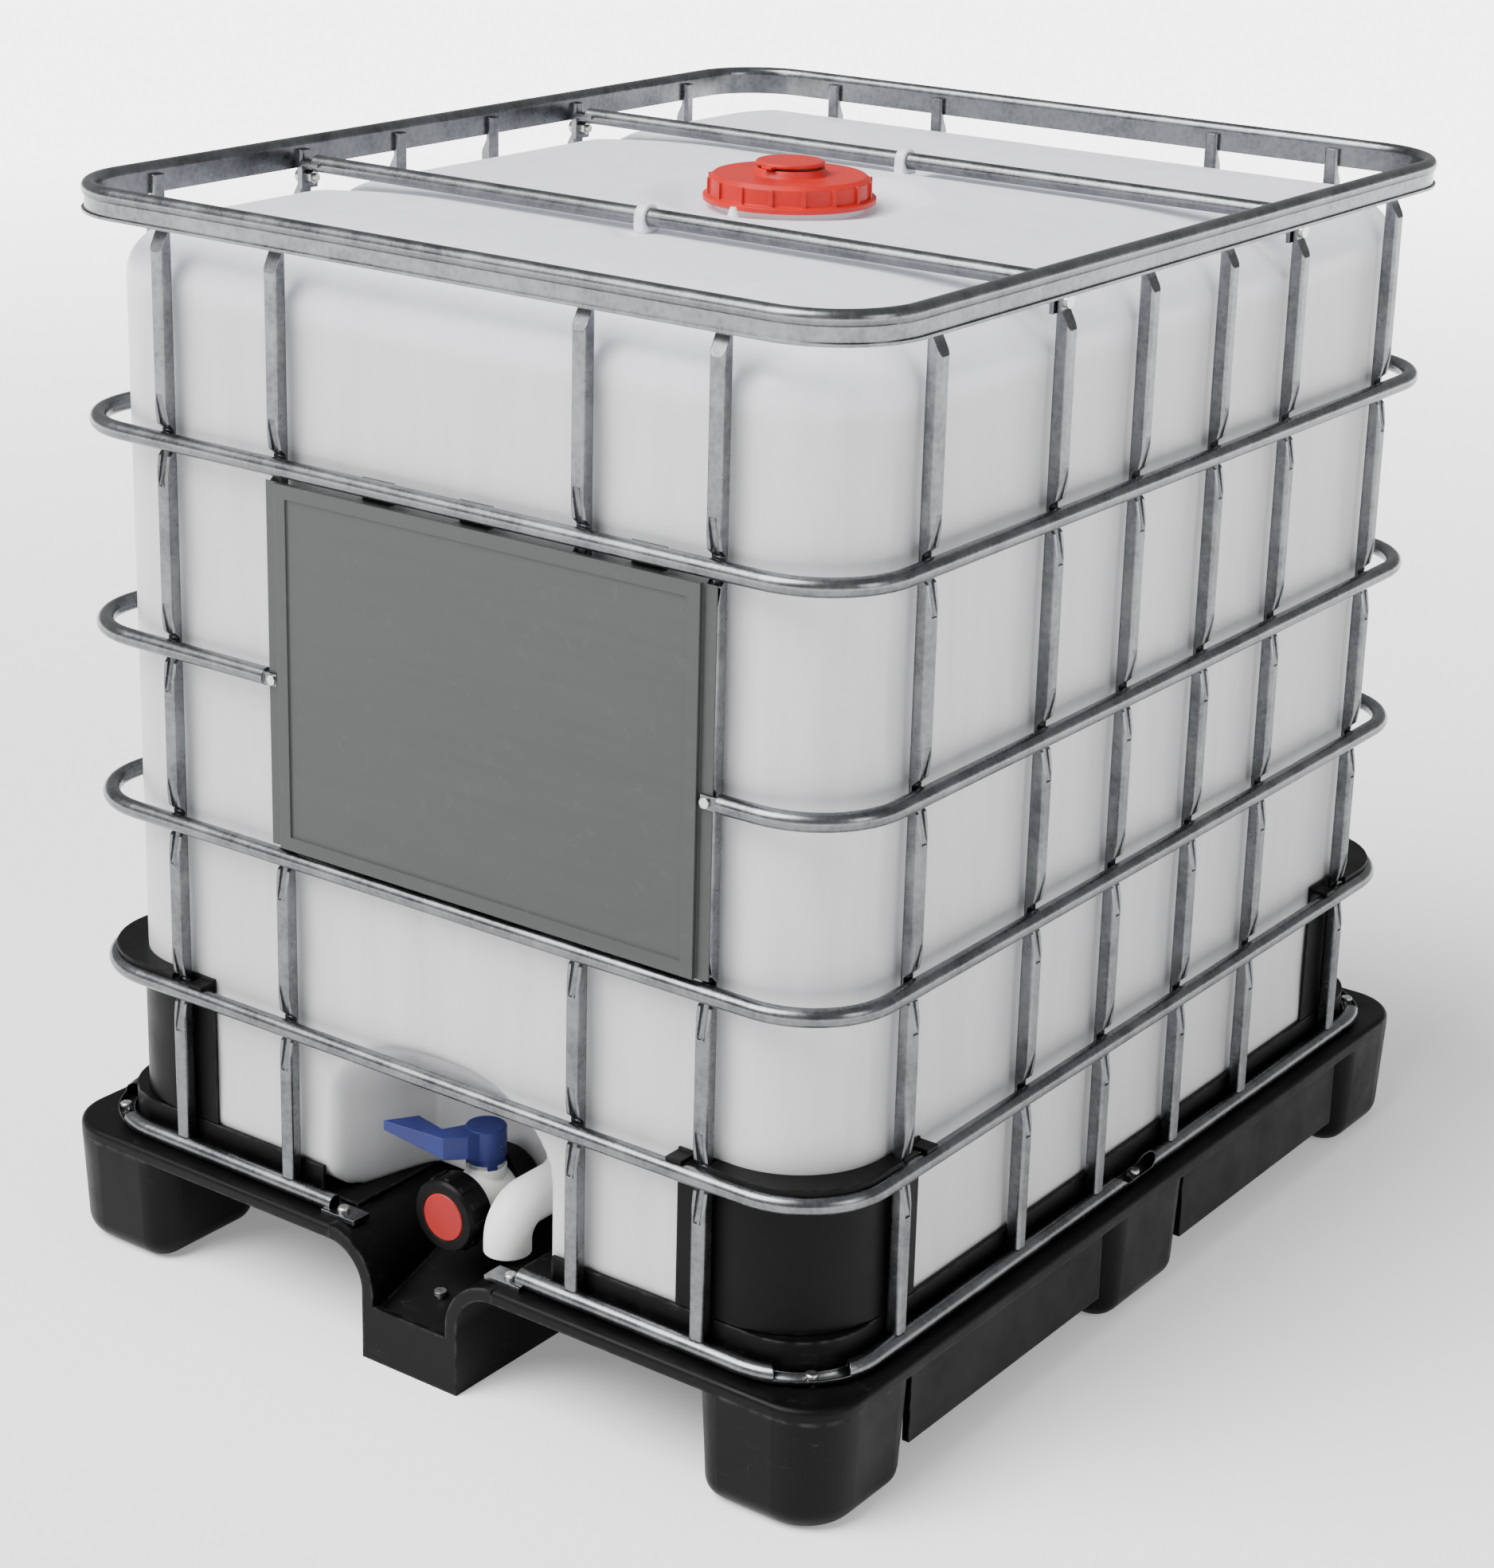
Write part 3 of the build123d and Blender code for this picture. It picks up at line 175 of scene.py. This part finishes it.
def galvanised(name):
    """Zinc-coated tube: mottled grey, soft spangle, fine drawn lines and dull white bloom."""
    m = Nodes(name)
    soft_edges(m, 0.0012)
    mottle = m.noise(22.0, 5.0, 0.6)
    fine = m.noise(260.0, 3.0, 0.6)
    spangle = m.cells(160.0)
    base = m.curve(mottle, [(0.30, (0.080, 0.083, 0.088)),
                            (0.66, (0.175, 0.180, 0.188))])
    base = m.mix(m.curve(spangle, [(0.2, 0.0), (0.9, 0.25)]), base, (0.27, 0.28, 0.29))
    bloom = m.curve(m.noise(9.0, 6.0, 0.65), [(0.62, 0.0), (0.78, 0.25)])
    base = m.mix(bloom, base, (0.24, 0.24, 0.24))
    m.set("Base Color", base)
    m.set("Metallic", m.curve(bloom, [(0.0, 1.0), (1.0, 0.75)]))
    uneven = m.math("ADD", mottle, m.math("MULTIPLY", fine, 0.4))
    m.set("Roughness", m.curve(uneven, [(0.45, 0.20), (0.95, 0.36)]))
    m.bump(fine, 0.12, 0.0003)
    m.bump(mottle, 0.12, 0.0015)
    return m.material


def zinc(name):
    """Bright zinc-plated fasteners with a slight yellow cast and fine turning marks."""
    m = Nodes(name)
    soft_edges(m, 0.0008)
    grain = m.noise(420.0, 3.0)
    m.set("Base Color", m.curve(grain, [(0.3, (0.42, 0.42, 0.40)), (0.75, (0.66, 0.66, 0.64))]))
    m.set("Metallic", 1.0)
    m.set("Roughness", m.curve(grain, [(0.3, 0.24), (0.8, 0.42)]))
    m.bump(grain, 0.2, 0.0002)
    return m.material


def black_plastic(name, level, scuff, fine_scale=900.0):
    """Moulded black polyethylene: leathery grain, pale scuffs on edges, scratches and a dusty film."""
    m = Nodes(name)
    soft_edges(m, 0.002)
    grain = m.noise(fine_scale, 3.0, 0.6)
    patch = m.noise(14.0, 6.0, 0.65)
    scratch_a = m.curve(m.noise(38.0, 4.0, 0.7, (1.0, 1.0, 9.0), 1.2), [(0.60, 0.0), (0.66, 1.0)])
    scratch_b = m.curve(m.noise(46.0, 4.0, 0.7, (9.0, 7.0, 1.0), 1.0), [(0.62, 0.0), (0.68, 1.0)])
    edge = m.edges(0.006, 0.02, 0.22)
    wear = m.math("MULTIPLY", edge, m.curve(m.noise(60.0, 5.0, 0.7), [(0.42, 0.0), (0.62, 1.0)]))
    scratched = m.math("MAXIMUM", scratch_a, scratch_b)
    marks = m.math("MULTIPLY", scratched, m.curve(patch, [(0.48, 0.0), (0.66, 0.7)]))
    worn = m.math("MULTIPLY", m.math("MAXIMUM", wear, m.math("MULTIPLY", marks, 0.55)), scuff)
    dust = m.curve(patch, [(0.35, 0.0), (0.8, 1.0)])
    dusty = (level * 2.4, level * 2.4, level * 2.4)
    base = m.mix(m.math("MULTIPLY", dust, 0.35), (level, level, level * 1.04), dusty)
    m.set("Base Color", m.mix(m.math("MULTIPLY", worn, 0.7), base, (0.06, 0.06, 0.059)))
    m.set("Specular IOR Level", 0.10)
    uneven = m.math("ADD", patch, m.math("MULTIPLY", worn, 0.5))
    m.set("Roughness", m.curve(uneven, [(0.3, 0.33), (0.8, 0.58)]))
    m.set("IOR", 1.5)
    m.bump(grain, 0.12, 0.0003)
    m.bump(m.noise(9.0, 2.0), 0.25, 0.004)
    return m.material


def bottle_plastic(name):
    """Translucent blow-moulded polyethylene: milky white, faint waviness, orange peel and flow streaks; the
    top is painted near-white and the sides a darker grey, as painted light and shade.
    """
    m = Nodes(name)
    soft_edges(m, 0.006)
    wave = m.noise(4.5, 3.0, 0.5)
    peel = m.noise(240.0, 2.0, 0.5)
    streak = m.noise(7.0, 5.0, 0.6, (5.0, 5.0, 0.6))
    height = m.axis(2)
    # painted light and shade: the same plastic gets a darker grey on the sides (painted shade) and a
    # near-white on the top (painted light)
    side = m.curve(streak, [(0.3, (0.47, 0.472, 0.485)), (0.7, (0.54, 0.542, 0.555))])
    top = m.curve(streak, [(0.3, (0.82, 0.825, 0.90)), (0.7, (0.87, 0.875, 0.94))])
    # near_top swaps the painted-shade side colour for the painted-light top colour between about 1.03 m and
    # 1.10 m up
    near_top = m.curve(m.math("MULTIPLY", height, 0.5), [(0.515, 0.0), (0.548, 1.0)])
    base = m.mix(near_top, side, top)
    base = m.mix(m.curve(height, [(0.14, 0.5), (0.40, 0.0)]), base, (0.50, 0.50, 0.495))
    m.set("Base Color", base)
    m.set("Roughness", m.curve(streak, [(0.3, 0.34), (0.75, 0.46)]))
    m.set("IOR", 1.52)
    m.set("Subsurface Weight", 0.35)
    m.set("Subsurface Radius", (0.030, 0.032, 0.036))
    m.set("Subsurface Scale", 1.0)
    m.set("Coat Weight", 0.12)
    m.set("Coat Roughness", 0.3)
    m.bump(wave, 0.30, 0.006)
    m.bump(peel, 0.10, 0.0005)
    return m.material


def gloss(name, dark, light, rough=0.32, fade=None, sub=0.0):
    """Coloured moulded plastic with slight shade change, fine moulding texture and rubbed edges."""
    m = Nodes(name)
    soft_edges(m, 0.0012)
    patch = m.noise(30.0, 4.0, 0.6)
    fine = m.noise(700.0, 2.0)
    base = m.curve(patch, [(0.3, dark), (0.72, light)])
    if fade:
        edge = m.edges(0.003, 0.02, 0.25)
        base = m.mix(m.math("MULTIPLY", edge, 0.5), base, fade)
    m.set("Base Color", base)
    m.set("Roughness", m.curve(patch, [(0.3, rough - 0.06), (0.75, rough + 0.12)]))
    m.set("Specular IOR Level", 0.35)
    if sub:
        m.set("Subsurface Weight", sub)
        m.set("Subsurface Radius", (0.012, 0.011, 0.010))
        m.set("Subsurface Scale", 1.0)
    m.bump(fine, 0.10, 0.0002)
    m.bump(patch, 0.12, 0.0012)
    return m.material


def coated_sheet(name):
    """Grey coated sheet steel: a light orange peel, faint rolling streaks and small dull spots."""
    m = Nodes(name)
    soft_edges(m, 0.0015)
    streak = m.noise(16.0, 5.0, 0.6, (0.35, 1.0, 5.0))
    peel = m.noise(520.0, 2.0)
    spots = m.curve(m.noise(70.0, 4.0, 0.7), [(0.60, 0.0), (0.68, 0.35)])
    base = m.curve(streak, [(0.3, (0.034, 0.038, 0.035)), (0.72, (0.040, 0.044, 0.041))])
    m.set("Base Color", m.mix(m.math("MULTIPLY", spots, 0.5), base, (0.075, 0.082, 0.077)))
    m.set("Metallic", 0.15)
    m.set("Specular IOR Level", 0.35)
    m.set("Roughness", m.curve(streak, [(0.3, 0.36), (0.75, 0.46)]))
    m.bump(peel, 0.10, 0.0003)
    m.bump(streak, 0.05, 0.002)
    return m.material


def rubber(name):
    """Black seal rubber with a fine bloom."""
    m = Nodes(name)
    bloom = m.noise(140.0, 4.0)
    m.set("Base Color", m.curve(bloom, [(0.35, (0.012, 0.012, 0.012)), (0.8, (0.05, 0.05, 0.048))]))
    m.set("Roughness", m.curve(bloom, [(0.3, 0.55), (0.8, 0.8)]))
    m.bump(bloom, 0.2, 0.0003)
    return m.material


materials = {
    "pallet_plastic": black_plastic("pallet_plastic_look", 0.0016, 1.0),
    "guard_plastic": black_plastic("guard_plastic_look", 0.0012, 0.3, 1200.0),
    "cap_black": black_plastic("cap_black_look", 0.0014, 0.3, 1500.0),
    "galvanised_tube": galvanised("galvanised_tube_look"),
    "zinc_screws": zinc("zinc_screws_look"),
    "plate_grey": coated_sheet("plate_grey_look"),
    "bottle_plastic": bottle_plastic("bottle_plastic_look"),
    "lid_red": gloss("lid_red_look", (0.42, 0.004, 0.002), (0.54, 0.008, 0.004),
                     0.42, (0.58, 0.022, 0.014)),
    "cap_red": gloss("cap_red_look", (0.22, 0.002, 0.0015), (0.30, 0.004, 0.003),
                     0.42, (0.36, 0.012, 0.009)),
    "handle_blue": gloss("handle_blue_look", (0.004, 0.009, 0.085), (0.008, 0.016, 0.125),
                         0.38, (0.02, 0.035, 0.19)),
    "valve_white": gloss("valve_white_look", (0.72, 0.72, 0.69), (0.80, 0.80, 0.77), 0.38, None, 0.4),
    "seal_rubber": rubber("seal_rubber_look"),
}

for part in frame["record"]["subparts"]:
    thing = nodes[part["node"]]
    for entry in thing.material_slots:
        entry.material = materials[part["material_slot"]]

# ------------------------------------------------------------------ bottle surface
def smooth(t):
    """Smoothstep of t clamped to 0..1."""
    t = np.clip(t, 0.0, 1.0)
    return t * t * (3.0 - 2.0 * t)


def grid_mesh(name, points):
    """A closed mesh from a grid of points: rows along v, columns along u.

    Row j joins row j + 1 by quads and the last column joins the first.  A fan round the row's mean
    closes the first row and another the last, so the surface has no open end.
    """
    rows, columns, _ = points.shape
    j, i = np.meshgrid(np.arange(rows - 1), np.arange(columns), indexing="ij")
    after = (i + 1) % columns
    quads = np.stack([j * columns + i, j * columns + after,
                      (j + 1) * columns + after, (j + 1) * columns + i], -1).reshape(-1, 4)
    ring = np.arange(columns)
    after = (ring + 1) % columns
    last = (rows - 1) * columns
    first_pole = rows * columns
    last_pole = first_pole + 1
    vertices = np.vstack([points.reshape(-1, 3), points[0].mean(axis=0), points[-1].mean(axis=0)])
    first_fan = np.stack([after, ring, np.full(columns, first_pole)], -1)
    last_fan = np.stack([last + ring, last + after, np.full(columns, last_pole)], -1)
    corners = np.concatenate([quads.ravel(), first_fan.ravel(), last_fan.ravel()]).astype(np.int32)
    sizes = np.concatenate([np.full(len(quads), 4), np.full(2 * columns, 3)]).astype(np.int32)
    starts = np.concatenate([[0], np.cumsum(sizes)[:-1]]).astype(np.int32)
    mesh = bpy.data.meshes.new(name)
    mesh.vertices.add(len(vertices))
    mesh.vertices.foreach_set("co", vertices.astype(np.float32).ravel())
    mesh.loops.add(len(corners))
    mesh.loops.foreach_set("vertex_index", corners)
    mesh.polygons.add(len(sizes))
    mesh.polygons.foreach_set("loop_start", starts)
    mesh.polygons.foreach_set("use_smooth", np.ones(len(sizes), dtype=bool))
    mesh.update(calc_edges=True)
    mesh.validate()
    thing = bpy.data.objects.new(name, mesh)
    bpy.context.scene.collection.objects.link(thing)
    return thing


def rounded_rectangle(runs, count_corner, half_x, half_y, radius):
    """Points round a rectangle with round corners, anticlockwise from the front's left end.

    runs gives the number of even steps on the front, right, rear and left; each corner is a quarter circle.
    """
    a = half_x - radius
    b = half_y - radius
    turn = np.linspace(0.0, np.pi / 2, count_corner, endpoint=False)
    x, y = [], []
    quarters = (((-1, -1), (1, -1), -np.pi / 2), ((1, -1), (1, 1), 0.0),
                ((1, 1), (-1, 1), np.pi / 2), ((-1, 1), (-1, -1), np.pi))
    for ((x0, y0), (x1, y1), angle), steps in zip(quarters, runs):
        along = np.linspace(0.0, 1.0, steps, endpoint=False)
        px = a * (x0 + (x1 - x0) * along) + (x0 + x1) / 2 * radius
        py = b * (y0 + (y1 - y0) * along) + (y0 + y1) / 2 * radius
        x += [px, a * x1 + radius * np.cos(angle + turn)]
        y += [py, b * y1 + radius * np.sin(angle + turn)]
    return np.concatenate(x), np.concatenate(y)


def bottle_surface():
    """The blow-moulded bottle as one closed surface.

    Along v the path runs from the middle of the floor out over the floor edge, up the side, over the
    top edge and in to the neck; along u it follows a rounded rectangle that turns into the neck's
    circle near the top's middle.  Pillows, bar grooves, the hook folds and the valve recess are
    smooth offsets added to that path.
    """
    base_low, base_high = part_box("bottle_base")
    top_low, top_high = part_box("bottle_top")
    neck_low, neck_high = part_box("bottle_neck")
    hook_low, hook_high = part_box("bar_hooks")
    outlet_low, outlet_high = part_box("bottle_outlet")
    half_x, half_y = base_high[0] - 0.0006, base_high[1] - 0.0006
    floor_z, top_z = base_low[2] + 0.0002, top_high[2] - 0.0002
    neck_r = (neck_high[0] - neck_low[0]) / 2
    corner, low_edge, top_edge = 0.100, 0.040, 0.062
    groove_depth, fold_depth, crown_drop, well_depth, most_drop = 0.0098, 0.0105, 0.020, 0.0142, 0.0245
    runs, bend = (124, 78, 56, 78), 18
    # profile: (inset from the side, height)
    arc = np.linspace(0.0, np.pi / 2, 16)
    inset = [np.array([0.30, 0.14]), low_edge * (1 - np.sin(arc[:-1]))]
    height = [np.array([0.0, 0.0]), low_edge * (1 - np.cos(arc[:-1]))]
    low_part = np.linspace(low_edge, 0.24, 62, endpoint=False)
    mid_part = np.linspace(0.24, top_z - floor_z - top_edge, 38, endpoint=False)
    inset += [np.zeros(100)]
    height += [np.concatenate([low_part, mid_part])]
    arc = np.linspace(0.0, np.pi / 2, 18)
    inset += [top_edge * (1 - np.cos(arc))]
    height += [top_z - floor_z - top_edge + top_edge * np.sin(arc)]
    inset = np.concatenate(inset)
    height = np.concatenate(height) + floor_z
    rows = []
    for d, z in zip(inset, height):
        r = max(corner - d, 0.012)
        x, y = rounded_rectangle(runs, bend, half_x - d, half_y - d, r)
        rows.append(np.stack([x, y, np.full_like(x, z)], -1))
    # top: blend from the last outline to the neck's circle
    last = rows[-1]
    angle = np.unwrap(np.arctan2(last[:, 1], last[:, 0]))
    for t in np.linspace(0.0, 1.0, 74)[1:]:
        circle = np.stack([np.cos(angle), np.sin(angle)], -1) * (neck_r - 0.003)
        blend = t ** 0.85
        xy = last[:, :2] * (1 - blend) + circle * blend
        rows.append(np.column_stack([xy, np.full(len(xy), top_z)]))
    points = np.array(rows)
    x, y, z = points[..., 0], points[..., 1], points[..., 2]
    crossbar_y = (hook_high[1] - hook_low[1]) / 2 - 0.0125
    hook_x = (hook_low[0] + hook_high[0]) / 2
    # how much of the top's shaping reaches this point
    near_top = smooth((z - (top_z - 0.075)) / 0.075)
    radius = np.hypot(x, y)
    groove = np.zeros_like(x)
    for sign in (-1, 1):
        bar = np.exp(-((y - sign * crossbar_y) / 0.026) ** 2)
        fold = np.exp(-((x - hook_x) / 0.020) ** 2) * smooth((sign * (y - sign * crossbar_y)) / 0.02) \
            * (1 - smooth((sign * y - crossbar_y) / 0.27))
        groove += groove_depth * bar + fold_depth * fold
    crown = crown_drop * smooth(np.maximum((np.abs(x) - 0.22) / 0.24, (np.abs(y) - 0.38) / 0.18)) ** 1.5
    well = well_depth * (1 - smooth((radius - 0.100) / 0.055))
    z = z - near_top * np.minimum(groove + crown * 0.6 + well, most_drop)
    # sides: shallow bulges between the uprights, never outside the flat wall
    side_v = smooth((z - floor_z - 0.02) / 0.08) * (1 - smooth((z - top_z + 0.10) / 0.08))
    ripple = 0.0011 * (1 - np.cos(2 * np.pi * x / 0.33)) * (1 - np.cos(2 * np.pi * y / 0.31)) / 2
    lower = 0.0012 * (1 - np.cos(2 * np.pi * (z - 0.317) / 0.185)) / 2
    shrink = side_v * (ripple * 0.5 + lower)
    flat_front = np.abs(y) > half_y - 0.002
    flat_side = np.abs(x) > half_x - 0.002
    y = np.where(flat_front, y - np.sign(y) * shrink, y)
    x = np.where(flat_side, x - np.sign(x) * shrink, x)
    # bar-end notches in the top edge of the sides
    notch = np.exp(-((np.abs(y) - crossbar_y) / 0.017) ** 2) * smooth((z - (top_z - 0.075)) / 0.06)
    x = np.where(np.abs(x) > half_x - 0.07, x - np.sign(x) * 0.006 * notch, x)
    # valve recess: an arch pushed back with soft lips and a sloping roof
    depth = outlet_high[1] - 0.012 + half_y - 0.0004
    arch_half, arch_rise, spring = 0.149, 0.104, 0.100
    level = np.clip(z - floor_z, 0.0, None)
    over = np.clip(level - spring, 0.0, None) / arch_rise
    reach_x = np.abs(x) / arch_half
    form = np.sqrt(reach_x ** 2 + over ** 2)
    lip = 0.30
    wall = 1.0 - smooth((form - (1.0 - lip)) / lip)
    roof = np.clip((0.204 - level) / 0.114, 0.0, 1.0)
    push = depth * wall * roof
    y = np.where((level < 0.23) & (y < 0.0), np.maximum(y, push - half_y), y)
    points = np.stack([x, y, z], -1)
    thing = grid_mesh("bottle_skin", points)
    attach(thing, "container")
    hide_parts("bottle_front", "bottle_base", "bottle_side", "bottle_top")
    thing.data.materials.append(materials["bottle_plastic"])
    return thing


bottle_skin = bottle_surface()

# ------------------------------------------------------------------ stage
def plain(name, colour, roughness):
    """A matt floor that glows a little, and more with the square of the distance from the object."""
    m = Nodes(name)
    m.set("Base Color", m.curve(m.noise(0.6, 2.0), [(0.2, colour), (0.8, tuple(c * 1.01 for c in colour))]))
    m.set("Roughness", roughness)
    far = m.math("ADD", m.math("MULTIPLY", m.axis(0), m.axis(0)), m.math("MULTIPLY", m.axis(1), m.axis(1)))
    glow = m.curve(m.math("MULTIPLY", far, 0.02), [(0.05, 0.08), (0.95, 1.0)])
    m.set("Emission Color", (1.0, 1.0, 1.0, 1.0))
    m.set("Emission Strength", m.math("MULTIPLY", glow, 3.2))
    return m.material


floor_mesh = bpy.data.meshes.new("floor")
reach = 60.0
floor_mesh.from_pydata([(-reach, -reach, 0), (reach, -reach, 0), (reach, reach, 0), (-reach, reach, 0)],
                       [], [(0, 1, 2, 3)])
floor = bpy.data.objects.new("floor", floor_mesh)
floor_mesh.materials.append(plain("floor_look", (0.93, 0.93, 0.93), 0.9))
bpy.context.scene.collection.objects.link(floor)

world = bpy.data.worlds.new("studio")
bpy.context.scene.world = world
world.use_nodes = True
background = world.node_tree.nodes["Background"]
background.inputs["Color"].default_value = (0.97, 0.985, 1.0, 1.0)
background.inputs["Strength"].default_value = 0.45


def lamp(name, place, target, size, watts):
    """A soft rectangular light that looks at target."""
    data = bpy.data.lights.new(name, "AREA")
    data.shape = "RECTANGLE"
    data.size = size[0]
    data.size_y = size[1]
    data.energy = watts
    thing = bpy.data.objects.new(name, data)
    thing.location = place
    thing.rotation_euler = (Vector(target) - Vector(place)).to_track_quat("-Z", "Y").to_euler()
    bpy.context.scene.collection.objects.link(thing)


middle = (0.0, 0.0, 0.55)
lamp("key", (-1.8, -3.6, 3.2), middle, (1.6, 1.6), 60.0)
lamp("side", (4.2, -0.6, 2.4), middle, (1.4, 2.0), 50.0)
sun_data = bpy.data.lights.new("sky", "SUN")
sun_data.energy = 6.2
sun_data.angle = math.radians(42.0)
sun = bpy.data.objects.new("sky", sun_data)
sun.rotation_euler = (math.radians(31.0), math.radians(-19.0), 0.0)
bpy.context.scene.collection.objects.link(sun)

# ------------------------------------------------------------------ camera
azimuth = math.radians(36.0)
elevation = math.radians(17.9)
roll = math.radians(1.4)
back = Vector((math.sin(azimuth) * math.cos(elevation), -math.cos(azimuth) * math.cos(elevation),
               math.sin(elevation)))
right = Vector((math.cos(azimuth), math.sin(azimuth), 0.0))
up = back.cross(right)
right_rolled = right * math.cos(roll) + up * math.sin(roll)
up_rolled = up * math.cos(roll) - right * math.sin(roll)
camera_data = bpy.data.cameras.new("camera")
camera_data.sensor_fit = "VERTICAL"
camera_data.sensor_height = 36.0
camera_data.lens = 75.40437
camera_data.shift_x = 0.0108685
camera_data.shift_y = -0.0866938
camera_data.clip_end = 200.0
camera = bpy.data.objects.new("camera", camera_data)
camera.matrix_world = Matrix((
    (right_rolled.x, up_rolled.x, back.x, 1.9450),
    (right_rolled.y, up_rolled.y, back.y, -2.7624),
    (right_rolled.z, up_rolled.z, back.z, 1.7056),
    (0.0, 0.0, 0.0, 1.0)))
bpy.context.scene.collection.objects.link(camera)
bpy.context.scene.camera = camera
